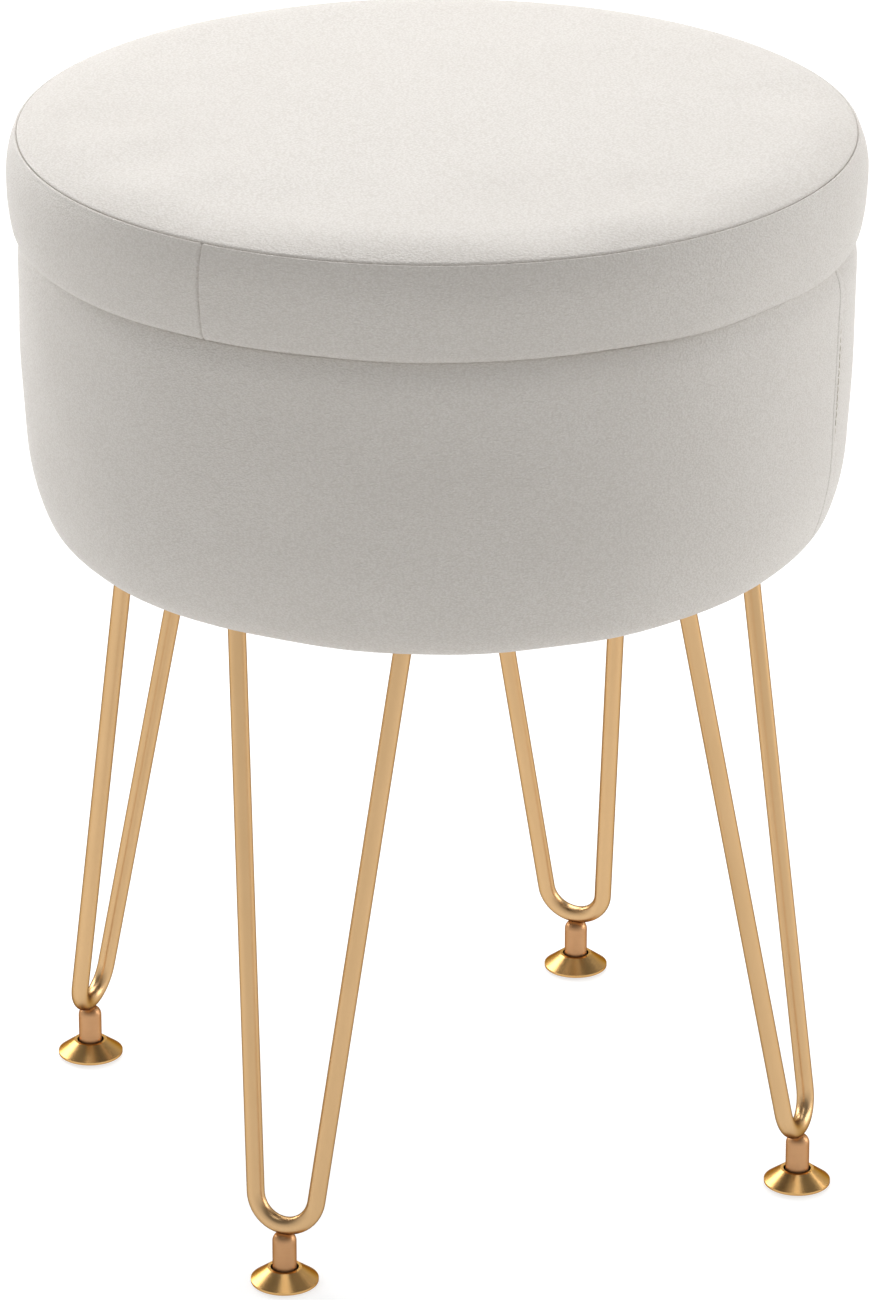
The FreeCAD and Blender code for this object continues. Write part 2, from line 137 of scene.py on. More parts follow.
def spunbond():
    # Spunbond polypropylene: thin black non-woven, heat-pressed with rows of small dots.
    # Dull and slightly fuzzy; the fibres are drawn thicker than real ones so that they show.
    look = {"colour": "#2A2A2B", "fibre": "#3A3A3B", "dots": 2.4 * mm, "fibres": 0.35 * mm,
            "depth": 0.12 * mm}
    material, tree, place = newMaterial("spunbondBlack")
    dots = addNode(tree, "TexVoronoi", {"Vector": place, "Scale": 1 / look["dots"], "Randomness": 0.15})
    fibres = addNode(tree, "TexNoise", {"Vector": place, "Scale": 1 / look["fibres"], "Detail": 3.0})
    pressed = addNode(tree, "MapRange", {"Value": dots.outputs["Distance"], "From Min": 0.15,
                                         "From Max": 0.4})
    height = addNode(tree, "Math", {0: fibres.outputs[0], 1: 0.35, 2: pressed.outputs[0]},
                     operation="MULTIPLY_ADD")
    colour = addNode(tree, "Mix", {0: fibres.outputs[0], 6: linear(look["colour"]), 7: linear(look["fibre"])},
                     data_type="RGBA")
    bump = addNode(tree, "Bump", {"Strength": 0.8, "Distance": look["depth"], "Height": height.outputs[0]})
    shader = addNode(tree, "BsdfPrincipled", {"Base Color": colour.outputs[2], "Roughness": 0.85,
                                              "Normal": bump.outputs[0]})
    addNode(tree, "OutputMaterial", {"Surface": shader.outputs[0]})
    return material


def cutFoam():
    # Polyurethane foam, knife cut: pale cream, open cells about a millimetre across, no shine.
    look = {"colour": "#EDE3C4", "paintedPitShade": "#D8CCA6", "cells": 1.1 * mm, "depth": 0.5 * mm}
    material, tree, place = newMaterial("foamCream")
    cells = addNode(tree, "TexVoronoi", {"Vector": place, "Scale": 1 / look["cells"]})
    # painted shade: the colour darkens towards the middle of each cell, where the bump sinks into a pit
    colour = addNode(tree, "Mix", {0: cells.outputs["Distance"], 6: linear(look["paintedPitShade"]),
                                   7: linear(look["colour"])}, data_type="RGBA")
    bump = addNode(tree, "Bump", {"Strength": 0.8, "Distance": look["depth"],
                                  "Height": cells.outputs["Distance"]})
    shader = addNode(tree, "BsdfPrincipled", {"Base Color": colour.outputs[2], "Roughness": 0.95,
                                              "Normal": bump.outputs[0]})
    addNode(tree, "OutputMaterial", {"Surface": shader.outputs[0]})
    return material


def timber(name, look):
    # Wood board: long grain streaks along X, thin glue layers through the thickness, sanded and unsealed.
    material, tree, place = newMaterial(name)
    stretched = addNode(tree, "Mapping", {"Vector": place, "Scale": look["run"]})
    streaks = addNode(tree, "TexNoise", {"Vector": stretched.outputs[0], "Scale": 1 / look["grain"],
                                         "Detail": 4.0, "Distortion": 0.4})
    colour = addNode(tree, "Mix", {0: streaks.outputs[0], 6: linear(look["pale"]), 7: linear(look["dark"])},
                     data_type="RGBA")
    bump = addNode(tree, "Bump", {"Strength": 0.4, "Distance": 0.1 * mm, "Height": streaks.outputs[0]})
    shader = addNode(tree, "BsdfPrincipled", {"Base Color": colour.outputs[2], "Roughness": 0.7,
                                              "Normal": bump.outputs[0]})
    addNode(tree, "OutputMaterial", {"Surface": shader.outputs[0]})
    return material


def zincSteel():
    # Steel, bright zinc plated: cool grey with faint cloudy passivation, small scratches in the gloss.
    look = {"colour": "#C3C6C9", "cloud": "#A9ADB3", "clouds": 4 * mm, "scratch": 0.3 * mm}
    material, tree, place = newMaterial("zincPlatedSteel")
    clouds = addNode(tree, "TexNoise", {"Vector": place, "Scale": 1 / look["clouds"], "Detail": 3.0})
    scratch = addNode(tree, "TexNoise", {"Vector": place, "Scale": 1 / look["scratch"], "Detail": 2.0})
    colour = addNode(tree, "Mix", {0: clouds.outputs[0], 6: linear(look["colour"]), 7: linear(look["cloud"])},
                     data_type="RGBA")
    rough = addNode(tree, "MapRange", {"Value": scratch.outputs[0], "To Min": 0.22, "To Max": 0.42})
    shader = addNode(tree, "BsdfPrincipled", {"Base Color": colour.outputs[2], "Metallic": 1.0,
                                              "Roughness": rough.outputs[0]})
    addNode(tree, "OutputMaterial", {"Surface": shader.outputs[0]})
    return material


def nylon():
    # Nylon, injection moulded: dark grey-brown, waxy, with a fine spark-eroded texture.
    look = {"colour": "#3B3632", "rub": "#4A443F", "texture": 0.4 * mm}
    material, tree, place = newMaterial("nylonGlide")
    speck = addNode(tree, "TexNoise", {"Vector": place, "Scale": 1 / look["texture"], "Detail": 2.0})
    colour = addNode(tree, "Mix", {0: speck.outputs[0], 6: linear(look["colour"]), 7: linear(look["rub"])},
                     data_type="RGBA")
    bump = addNode(tree, "Bump", {"Strength": 0.4, "Distance": 0.05 * mm, "Height": speck.outputs[0]})
    shader = addNode(tree, "BsdfPrincipled", {"Base Color": colour.outputs[2], "Roughness": 0.5, "IOR": 1.53,
                                              "Normal": bump.outputs[0]})
    addNode(tree, "OutputMaterial", {"Surface": shader.outputs[0]})
    return material


def polyesterThread():
    # Polyester sewing thread, twisted: a shade warmer than the leather, with a slight silky gleam.
    look = {"colour": "#D2CBC0", "dark": "#B3AA9C", "twist": 0.35 * mm}
    material, tree, place = newMaterial("polyesterThread")
    twist = addNode(tree, "TexNoise", {"Vector": place, "Scale": 1 / look["twist"], "Detail": 1.0})
    colour = addNode(tree, "Mix", {0: twist.outputs[0], 6: linear(look["colour"]), 7: linear(look["dark"])},
                     data_type="RGBA")
    shader = addNode(tree, "BsdfPrincipled", {"Base Color": colour.outputs[2], "Roughness": 0.55})
    addNode(tree, "OutputMaterial", {"Surface": shader.outputs[0]})
    return material


# drawn rod: hairlines run along it
rodLook = {"colour": "#D3AF82", "shade": "#CCA87A", "edge": "#5E452B", "hairline": 0.35 * mm,
           "run": (1, 1, 0.04), "cloud": 30 * mm, "depth": 0.01 * mm, "rough": (0.28, 0.35)}
# turned sleeve: lines run round it
socketLook = {"colour": "#C69A70", "shade": "#BE9067", "edge": "#6B4C33", "hairline": 0.3 * mm,
              "run": (0.05, 0.05, 1), "cloud": 8 * mm, "depth": 0.012 * mm, "rough": (0.36, 0.46)}
# spun and polished cup, a yellower plating
cupLook = {"colour": "#D2A86E", "shade": "#CA9F65", "edge": "#8C6A42", "hairline": 0.25 * mm,
           "run": (0.05, 0.05, 1), "cloud": 10 * mm, "depth": 0.0001 * mm, "rough": (0.26, 0.27)}
plyLook = {"pale": "#DDBF91", "dark": "#C49E6A", "grain": 3 * mm, "run": (0.05, 1, 1)}
boardLook = {"pale": "#C9A878", "dark": "#B08B5B", "grain": 1.5 * mm, "run": (0.3, 0.3, 1)}

finishes = {
    "upholstery": puLeather(),
    "foam": cutFoam(),
    "plywood": timber("birchPlywood", plyLook),
    "board": timber("pressedBoard", boardLook),
    "lining": spunbond(),
    "gold_rod": champagneGold("champagneGoldRod", rodLook),
    "gold_socket": champagneGold("champagneGoldSocket", socketLook),
    "brass_cup": champagneGold("polishedGoldCup", cupLook),
    "zinc_steel": zincSteel(),
    "nylon": nylon(),
}
thread = polyesterThread()
print("materials:", len(finishes) + 1)

for part in frame["record"]["subparts"]:
    node = frame["nodes"][part["node"]]
    node.data.materials.clear()
    node.data.materials.append(finishes[part["material_slot"]])


# Outlines in the plane of radius and height

def arcRun(centre, radius, start, end, steps=24):
    turn = np.radians(np.linspace(start, end, steps + 1))
    return np.stack([centre[0] + radius * np.cos(turn), centre[1] + radius * np.sin(turn)], axis=1)


def straightRun(start, end, steps=1):
    return np.linspace(start, end, steps + 1)


def softRun(start, pull, end, steps=8):
    # a bend from start to end, drawn towards pull
    t = np.linspace(0, 1, steps + 1)[:, None]
    return (1 - t) ** 2 * np.array(start) + 2 * t * (1 - t) * np.array(pull) + t ** 2 * np.array(end)


def joined(*runs):
    path = np.concatenate(runs)
    keep = np.r_[True, np.hypot(*np.diff(path, axis=0).T) > 1e-6]
    return path[keep]


def lengthAlong(path):
    return np.r_[0, np.cumsum(np.hypot(*np.diff(path, axis=0).T))]


def outward(path):
    # left-hand normals: outlines run so that the face lies on their left
    way = np.gradient(path, axis=0)
    way /= np.hypot(way[:, 0], way[:, 1])[:, None]
    return np.stack([-way[:, 1], way[:, 0]], axis=1)


def resampled(path, stations):
    length = lengthAlong(path)
    return np.stack([np.interp(stations, length, path[:, k]) for k in (0, 1)], axis=1)


def bearing(centre, place):
    return math.degrees(math.atan2(place[1] - centre[1], place[0] - centre[0]))


# Meshes

def turned(path, angles, lift=0.0):
    # rings of points: each point of the path, lifted off its face, at each angle
    face = outward(path)
    lift = np.broadcast_to(lift, (len(path), len(angles)))
    radius = path[:, :1] + lift * face[:, :1]
    height = path[:, 1:] + lift * face[:, 1:]
    return np.stack([radius * np.cos(angles), radius * np.sin(angles), height], axis=2)


def skin(rings):
    # one closed skin over rings of points; a ring on the axis becomes a single point
    points, first, count = [], [], []
    for ring in rings:
        onAxis = np.hypot(ring[:, 0], ring[:, 1]).max() < 1e-7
        first.append(len(points))
        count.append(1 if onAxis else len(ring))
        points.extend(ring[:count[-1]].tolist())
    faces = []
    last = len(rings) if count[0] > 1 else len(rings) - 1
    for i in range(last):
        k = (i + 1) % len(rings)
        m = max(count[i], count[k])
        for j in range(m):
            n = (j + 1) % m
            here = [first[i] + j, first[i] + n] if count[i] > 1 else [first[i]]
            there = [first[k] + j, first[k] + n] if count[k] > 1 else [first[k]]
            faces.append([here[0]] + there + here[1:])
    return points, faces


def addPiece(name, mesh, finish, body, sharp=40):
    points, faces = mesh
    data = bpy.data.meshes.new(name)
    data.from_pydata(points, [], faces)
    data.polygons.foreach_set("use_smooth", [True] * len(data.polygons))
    data.set_sharp_from_angle(angle=math.radians(sharp))
    data.materials.append(finish)
    piece = bpy.data.objects.new(name, data)
    bpy.context.scene.collection.objects.link(piece)
    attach(piece, body)
    return piece


def together(meshes):
    # several meshes as one
    points, faces = [], []
    for somePoints, someFaces in meshes:
        start = len(points)
        points.extend(somePoints)
        faces.extend([[start + i for i in face] for face in someFaces])
    return points, faces


def movedMesh(mesh, move):
    points, faces = mesh
    return [tuple(move(Vector(p))) for p in points], faces


def roundAngles(seam=None, radius=1.0, steps=360):
    # even steps, with close ones beside an upright seam
    angles = np.arange(steps) * 2 * math.pi / steps
    if seam is None:
        return angles
    close = np.array([0, 0.3, 0.6, 0.95, 1.4, 2.0, 2.8, 3.3, 3.6, 3.9, 4.4]) * mm / radius
    extra = math.radians(seam) + np.r_[-close[::-1], close[1:]]
    apart = np.abs(np.angle(np.exp(1j * (angles - math.radians(seam)))))
    angles = np.r_[angles[apart > close[-1] + 0.4 * mm / radius], extra]
    return np.sort(np.mod(angles, 2 * math.pi))


def aside(angles, seam, radius):
    # distance from an upright seam, round the face
    return np.angle(np.exp(1j * (angles - math.radians(seam)))) * radius


# Covers are laid on their foam a little unevenly and settled as cloth

cloth = {"around": 120, "step": 7 * mm, "frames": 16, "push": 2.5, "unevenness": 0.5 * mm, "cap": 0.5 * mm,
         "waves": 18, "seed": 11}


def settledLift(name, path, heldLength):
    # how far the settled cloth stands off the even outline, at any length along the path and any angle
    total = lengthAlong(path)[-1]
    stations = np.linspace(0, total, int(total / cloth["step"]))
    coarse = resampled(path, stations)
    angles = np.arange(cloth["around"]) * 2 * math.pi / cloth["around"]
    chance = np.random.default_rng(cloth["seed"])
    rough = chance.normal(0, 1, (len(stations), cloth["around"]))
    for _ in range(4):  # uneven over a hand's breadth, not from point to point
        rough = (np.roll(rough, 1, 1) + rough + np.roll(rough, -1, 1)) / 3
        rough[1:-1] = (rough[:-2] + rough[1:-1] + rough[2:]) / 3
    rough *= cloth["unevenness"] / rough.std()
    start = turned(coarse, angles, rough)
    held = (stations < heldLength[0]) | (stations > total - heldLength[1])
    rings = [ring for ring in start]
    points = np.concatenate(rings)
    around = cloth["around"]
    faces = []
    for i in range(len(rings) - 1):
        for j in range(around):
            n = (j + 1) % around
            faces.append([i * around + j, (i + 1) * around + j, (i + 1) * around + n, i * around + n])
    data = bpy.data.meshes.new(name)
    data.from_pydata(points.tolist(), [], faces)
    drape = bpy.data.objects.new(name, data)
    bpy.context.scene.collection.objects.link(drape)
    pins = drape.vertex_groups.new(name="held")
    pins.add([i * around + j for i in np.nonzero(held)[0].tolist() for j in range(around)], 1.0, "REPLACE")
    modifier = drape.modifiers.new("settle", "CLOTH")
    settings = modifier.settings
    settings.quality = 6
    settings.mass = 0.4
    settings.tension_stiffness = 40
    settings.compression_stiffness = 40
    settings.bending_stiffness = 8
    settings.vertex_group_mass = "held"
    settings.use_pressure = True
    settings.uniform_pressure_force = cloth["push"]
    settings.effector_weights.gravity = 0
    modifier.collision_settings.use_collision = False
    modifier.point_cache.frame_end = cloth["frames"]
    for step in range(1, cloth["frames"] + 1):
        bpy.context.scene.frame_set(step)
    seen = drape.evaluated_get(bpy.context.evaluated_depsgraph_get())
    now = np.zeros(len(points) * 3)
    seen.data.vertices.foreach_get("co", now)
    now = now.reshape(len(stations), around, 3)
    bpy.data.objects.remove(drape)
    bpy.context.scene.frame_set(1)
    face = outward(coarse)
    offRadius = np.hypot(now[..., 0], now[..., 1]) - coarse[:, :1]
    offHeight = now[..., 2] - coarse[:, 1:]
    lift = offRadius * face[:, :1] + offHeight * face[:, 1:]
    lift = lift - lift.mean(axis=1, keepdims=True)  # the even part is the measured outline
    lift = np.clip(lift, -cloth["cap"], cloth["cap"])
    parts = np.fft.rfft(lift, axis=1)[:, 1:cloth["waves"] + 1] * 2 / around
    even = np.arange(0, total, 1 * mm)
    window = np.hanning(int(2 * cloth["step"] / mm) + 1)
    smooth = np.zeros((len(even), parts.shape[1]), complex)
    for h in range(parts.shape[1]):
        padded = np.pad(np.interp(even, stations, parts[:, h]), len(window) // 2, mode="edge")
        smooth[:, h] = np.convolve(padded, window / window.sum(), mode="valid")
    print("settled", name, "largest unevenness mm", round(float(np.abs(lift).max() / mm), 2))

    def liftAt(lengths, atAngles):
        waves = np.exp(1j * np.arange(1, parts.shape[1] + 1)[:, None] * atAngles)
        here = np.stack([np.interp(lengths, even, line) for line in smooth.T], axis=1)
        return (here @ waves).real

    return liftAt


# Lid: top panel and side band, sewn with one plain seam, turned under and held by the locating disc

lid = {
    "softEdge": 28 * mm,  # width of the rolled edge of the top
    "edgeDrop": 6.2 * mm,  # its fall to the seam
    "widest": 26.2 * mm,  # widest part of the band above the underside
    "lowerBulge": 110 * mm,  # radius of the band below that
    "lipBulge": 6 * mm,  # tighter curve of its lower lip
    "lipTurn": 45,  # degrees
    "hemFold": 1.5 * mm,
    "hem": 42.5 * mm,  # turned under, from the widest radius inwards
    "cover": 1.2 * mm,
    "tuck": (1.2 * mm, 1.0 * mm),  # seam line behind and below the corner of the two faces
    "topRoll": 2.2 * mm,  # top panel rolling into the seam
    "edge": 0.85 * mm,  # edge of the band standing proud of the corner
    "edgeWidth": 1.8 * mm,
    "calm": 110 * mm,  # the middle of the top lies even
    "taut": 24 * mm,  # the cover is drawn tight beside the seam
    "seamAngle": -99.7,  # upright seam of the band, degrees from +X
    "seamDepth": 0.75 * mm,
    "seamWidth": 0.5 * mm,
    "seamPuff": (0.12 * mm, 1.6 * mm, 0.9 * mm),  # edges drawn up beside it: height, distance, width
    "heldHem": 40 * mm,  # held still while the cover settles
}

bandLow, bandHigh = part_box("lid_side_band")
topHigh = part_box("lid_top_panel")[1]
seamSpot = np.array((topHigh.x, bandHigh.z))
flatRadius = topHigh.x - lid["softEdge"]
flatSlope = 2 * math.atan((topHigh.z - seamSpot[1] - lid["edgeDrop"]) / flatRadius)
crownRadius = flatRadius / math.sin(flatSlope)
edgeTurn = 2 * (math.atan(lid["edgeDrop"] / lid["softEdge"]) - flatSlope)
edgeRadius = math.hypot(lid["softEdge"], lid["edgeDrop"]) / (2 * math.sin(edgeTurn / 2))
edgeCentre = (flatRadius - edgeRadius * math.sin(flatSlope),
              seamSpot[1] + lid["edgeDrop"] - edgeRadius * math.cos(flatSlope))
widestHeight = bandLow.z + lid["widest"]
drawnIn = bandHigh.x - seamSpot[0]
upperBulge = ((seamSpot[1] - widestHeight) ** 2 + drawnIn ** 2) / (2 * drawnIn)
upperCentre = (bandHigh.x - upperBulge, widestHeight)
lowerCentre = (bandHigh.x - lid["lowerBulge"], widestHeight)
lipEnd = math.radians(lid["lipTurn"])
lipStart = math.asin((lid["widest"] - lid["hemFold"] - (lid["lipBulge"] - lid["hemFold"]) * math.sin(lipEnd))
                     / (lid["lowerBulge"] - lid["lipBulge"]))
lipCentre = (lowerCentre[0] + (lid["lowerBulge"] - lid["lipBulge"]) * math.cos(lipStart),
             lowerCentre[1] - (lid["lowerBulge"] - lid["lipBulge"]) * math.sin(lipStart))
foldCentre = (lipCentre[0] + (lid["lipBulge"] - lid["hemFold"]) * math.cos(lipEnd),
              bandLow.z + lid["hemFold"])
seamLine = seamSpot - np.array(lid["tuck"])


def lidTopPath():
    start = 90 - math.degrees(flatSlope)
    end = bearing(edgeCentre, seamSpot)
    rollStart = end + math.degrees(lid["topRoll"] / edgeRadius)
    edge = arcRun(edgeCentre, edgeRadius, start, rollStart, 26)
    return joined(arcRun((0, topHigh.z - crownRadius), crownRadius, 90, start, 30), edge,
                  softRun(edge[-1], seamSpot + np.array((-0.25, 0.1)) * lid["topRoll"], seamLine))


def lowerBand(inset=0.0):
    # from the widest part down round the lip to the hem
    start, end = -math.degrees(lipStart), -lid["lipTurn"]
    return joined(arcRun(lowerCentre, lid["lowerBulge"] - inset, 0, start, 16),
                  arcRun(lipCentre, lid["lipBulge"] - inset, start, end, 8),
                  arcRun(foldCentre, max(lid["hemFold"] - inset, 0.1 * mm), end, -90, 6))


def lidBandPath():
    start = bearing(upperCentre, seamSpot)
    side = arcRun(upperCentre, upperBulge, start - math.degrees(lid["edgeWidth"] / upperBulge), 0, 14)
    return joined(softRun(seamLine, seamSpot + np.array((0.4, 1.0)) * lid["edge"], side[0]), side,
                  lowerBand(),
                  straightRun((foldCentre[0], bandLow.z), (bandHigh.x - lid["hem"], bandLow.z), 6))


def backOf(path, thickness, stations):
    # the hidden face of a cover, with few points
    inner = path - thickness * outward(path)
    return resampled(inner, np.linspace(0, lengthAlong(inner)[-1], stations))[::-1]


def eased(distance, reach):
    # from 0 at a held line to 1 at the reach, one value per point of a path
    share = np.clip(distance / reach, 0, 1)
    return (share * share * (3 - 2 * share))[:, None]


topPath = lidTopPath()
bandPath = lidBandPath()
wholeCover = joined(topPath[:-8], bandPath[8:])  # without the tucked seam
lidLift = settledLift("lidSettling", wholeCover, (0, lid["heldHem"]))
topLength = lengthAlong(topPath)
bandLength = topLength[-1] + lengthAlong(bandPath)
evenAngles = roundAngles()
bandAngles = roundAngles(lid["seamAngle"], bandHigh.x)

topLift = lidLift(topLength, evenAngles) * eased(topPath[:, 0], lid["calm"])
topLift = topLift * eased(topLength[-1] - topLength, lid["taut"])
topBack = backOf(topPath, lid["cover"], 12)
topBack[-1][0] = 0
lidTop = addPiece("lidTopPanel", skin([*turned(topPath, evenAngles, topLift), *turned(topBack, evenAngles)]),
                  finishes["upholstery"], "lid")
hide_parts("lid_top_panel")

seamGap = aside(bandAngles, lid["seamAngle"], bandHigh.x)
seamDip = -lid["seamDepth"] * np.exp(-(seamGap / lid["seamWidth"]) ** 2)
puffHeight, puffAside, puffWidth = lid["seamPuff"]
seamDip += puffHeight * np.exp(-((np.abs(seamGap) - puffAside) / puffWidth) ** 2)
bandLift = lidLift(bandLength, bandAngles) * eased(bandLength - topLength[-1], lid["taut"]) + seamDip
bandBack = backOf(bandPath, lid["cover"], 12)
lidBand = addPiece("lidSideBand",
                   skin([*turned(bandPath, bandAngles, bandLift), *turned(bandBack, bandAngles)]),
                   finishes["upholstery"], "lid", 60)
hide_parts("lid_side_band")
print("lid cover made")


# Lid foam: fills the cover and laps round the board

foam = {"gap": 0.6 * mm}
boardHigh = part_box("lid_board")[1]


def lidFoamPath():
    inset = lid["cover"] + foam["gap"]
    start = 90 - math.degrees(flatSlope)
    return joined(
        arcRun((0, topHigh.z - crownRadius), crownRadius - inset, 90, start, 10),
        arcRun(edgeCentre, edgeRadius - inset, start, bearing(edgeCentre, seamSpot - inset), 8),
        arcRun(upperCentre, upperBulge - inset, bearing(upperCentre, seamSpot - inset), 0, 8),
        lowerBand(inset),
        straightRun((foldCentre[0], bandLow.z + inset), (boardHigh.x + foam["gap"], bandLow.z + inset)),
        straightRun((boardHigh.x + foam["gap"], boardHigh.z + foam["gap"]), (0, boardHigh.z + foam["gap"])),
    )


coarseAngles = roundAngles(steps=120)
lidFoam = addPiece("lidFoamPad", skin(turned(lidFoamPath(), coarseAngles)), finishes["foam"], "lid")
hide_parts("lid_foam")


# Lid lining: non-woven drawn over the locating disc, gathered round its edge

lidLining = {"thickness": 0.8 * mm, "round": 5.8 * mm, "upturn": 9.2 * mm, "gathers": 44,
             "gatherHeight": 0.3 * mm}


def gathered(angles, count, shift=0.0):
    # uneven gathers round a drawn edge, from 0 to 1
    wander = 0.8 * np.sin(3 * angles + shift) + 0.5 * np.sin(7 * angles + 2 * shift + 1)
    return (0.5 + 0.5 * np.sin(count * angles + wander)) ** 2


def lidLiningShell():
    low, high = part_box("lid_lining")
    centre = (high.x - lidLining["round"], low.z + lidLining["round"])
    face = joined(straightRun((high.x, high.z), (high.x, centre[1]), 3),
                  arcRun(centre, lidLining["round"], 0, -90, 8),
                  straightRun((centre[0], low.z), (0, low.z), 16))
    reach = np.clip((face[:, 0] - 0.85 * high.x) / (0.12 * high.x), 0, 1)[:, None]
    lift = -lidLining["gatherHeight"] * reach * gathered(evenAngles, lidLining["gathers"])
    back = face - lidLining["thickness"] * outward(face)
    back[-1, 0] = 0
    return skin([*turned(back, evenAngles)[::-1], *turned(face, evenAngles, lift)])


lining = addPiece("lidLining", lidLiningShell(), finishes["lining"], "lid")
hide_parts("lid_lining")


# Drum cover: one wrap with an upright seam, turned in over the rim and under the base

drum = {
    "rimBand": 19.4 * mm,  # upright stretch and bend below the rim
    "rimBend": 29 * mm,  # gentle bend inwards under the lid
    "rimBendDrop": 14.5 * mm,  # its start below the rim
    "drawIn": 2.55 * mm,  # how far the wall draws in above the shoulder
    "shoulder": 124 * mm,
    "shoulderTurn": 19.9,  # degrees
    "corner": 23.4 * mm,
    "rimRoll": 2.5 * mm,
    "rimInnerRoll": 4 * mm,
    "hemEnd": 103.4 * mm,
    "cover": 1.2 * mm,
    "seamAngle": 2.6,  # degrees from +X
    "seamDepth": 0.7 * mm,
    "seamWidth": 0.45 * mm,
    "stitchAside": 4.4 * mm,  # row of stitches beside the seam
    "stitchDip": 0.35 * mm,
    "gathers": 58,  # under the base
    "gatherDepth": 0.6 * mm,
    "gatherReach": 30 * mm,  # from flat to their full depth
    "held": (30 * mm, 60 * mm),  # both hems, held still while the cover settles
}

drumLow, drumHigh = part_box("drum_cover")
sideLow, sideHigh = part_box("drum_lining")
cavity = sideHigh.x - drum["cover"]
leaning = math.radians(drum["shoulderTurn"])
upright = (drumHigh.z - drumLow.z - drum["rimBand"] - drum["corner"]
           - (drum["shoulder"] - drum["corner"]) * math.sin(leaning))
wallTurn = 0.0
for _ in range(40):  # wall and shoulder share the height, so their turn settles step by step
    wallTurn = 2 * math.atan(drum["drawIn"] / (upright + drum["shoulder"] * math.sin(wallTurn)))
wallRadius = drum["drawIn"] / (1 - math.cos(wallTurn))
wallCentre = (drumHigh.x - wallRadius, drumHigh.z - drum["rimBand"])
shoulderCentre = (wallCentre[0] + (wallRadius - drum["shoulder"]) * math.cos(wallTurn),
                  wallCentre[1] - (wallRadius - drum["shoulder"]) * math.sin(wallTurn))
cornerCentre = (shoulderCentre[0] + (drum["shoulder"] - drum["corner"]) * math.cos(leaning),
                shoulderCentre[1] - (drum["shoulder"] - drum["corner"]) * math.sin(leaning))
bendCentre = (drumHigh.x - drum["rimBend"], drumHigh.z - drum["rimBendDrop"])
rimTurn = math.asin((drum["rimBendDrop"] - drum["rimRoll"]) / (drum["rimBend"] - drum["rimRoll"]))
rimCentre = (bendCentre[0] + (drum["rimBend"] - drum["rimRoll"]) * math.cos(rimTurn),
             drumHigh.z - drum["rimRoll"])
rimInner = (cavity + drum["rimInnerRoll"], drumHigh.z - drum["rimInnerRoll"])


def drumWallPath(inset=0.0, fine=1):
    # from the rim down the wall and round the corner
    wallEnd = -math.degrees(wallTurn)
    return joined(
        arcRun(bendCentre, drum["rimBend"] - inset, math.degrees(rimTurn), 0, 8 * fine),
        straightRun((drumHigh.x - inset, bendCentre[1]), (drumHigh.x - inset, wallCentre[1]), fine),
        arcRun(wallCentre, wallRadius - inset, 0, wallEnd, 14 * fine),
        arcRun(shoulderCentre, drum["shoulder"] - inset, wallEnd, -drum["shoulderTurn"], 12 * fine),
        arcRun(cornerCentre, drum["corner"] - inset, -drum["shoulderTurn"], -90, 14 * fine),
    )


def drumPath():
    return joined(
        straightRun((cavity, sideHigh.z), (cavity, rimInner[1]), 6),
        arcRun(rimInner, drum["rimInnerRoll"], 180, 90, 8),
        straightRun((rimInner[0], drumHigh.z), (rimCentre[0], drumHigh.z), 4),
        arcRun(rimCentre, drum["rimRoll"], 90, math.degrees(rimTurn), 10),
        drumWallPath(),
        straightRun((cornerCentre[0], drumLow.z), (drum["hemEnd"], drumLow.z), 14),
    )


facePath = drumPath()
faceLength = lengthAlong(facePath)
drumAngles = roundAngles(drum["seamAngle"], drumHigh.x)
drumLift = settledLift("drumSettling", facePath, drum["held"])(faceLength, drumAngles)
seamGap = aside(drumAngles, drum["seamAngle"], drumHigh.x)
drumLift = drumLift - drum["seamDepth"] * np.exp(-(seamGap / drum["seamWidth"]) ** 2)
drumLift = drumLift - drum["stitchDip"] * np.exp(-((seamGap - drum["stitchAside"]) / drum["seamWidth"]) ** 2)
onBase = facePath[:, 1] < drumLow.z + 0.1 * mm
under = onBase * np.clip((cornerCentre[0] - facePath[:, 0]) / drum["gatherReach"], 0, 1)
drumLift = drumLift - drum["gatherDepth"] * under[:, None] * gathered(drumAngles, drum["gathers"], 1.3)
drumLift[under > 0.2] = np.minimum(drumLift[under > 0.2], 0)  # nothing stands down into the leg plates
drumCover = addPiece("drumCover", skin([*turned(facePath, drumAngles, drumLift),
                                        *turned(backOf(facePath, drum["cover"], 40), drumAngles)]),
                     finishes["upholstery"], "drum", 60)
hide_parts("drum_cover")
print("drum cover made")


# Stitches beside the drum's seam

stitch = {"length": 3.1 * mm, "pitch": 3.9 * mm, "width": 0.6 * mm, "height": 0.45 * mm, "sides": 8}


def bar(spine, width, height, up, sides):
    # a bar of oval section along a spine, with closed ends; up is square to the spine
    spine = [Vector(p) for p in spine]
    rings = []
    for i, p in enumerate(spine):
        way = (spine[min(i + 1, len(spine) - 1)] - spine[max(i - 1, 0)]).normalized()
        across = way.cross(up).normalized()
        over = across.cross(way)
        turn = [2 * math.pi * k / sides for k in range(sides)]
        rings.append([p + across * (width / 2 * math.cos(t)) + over * (height / 2 * math.sin(t))
                      for t in turn])
    points = [tuple(p) for ring in rings for p in ring]
    faces = [list(range(sides))[::-1], [len(points) - sides + k for k in range(sides)]]
    for i in range(len(rings) - 1):
        for k in range(sides):
            n = (k + 1) % sides
            faces.append([i * sides + k, i * sides + n, (i + 1) * sides + n, (i + 1) * sides + k])
    return points, faces


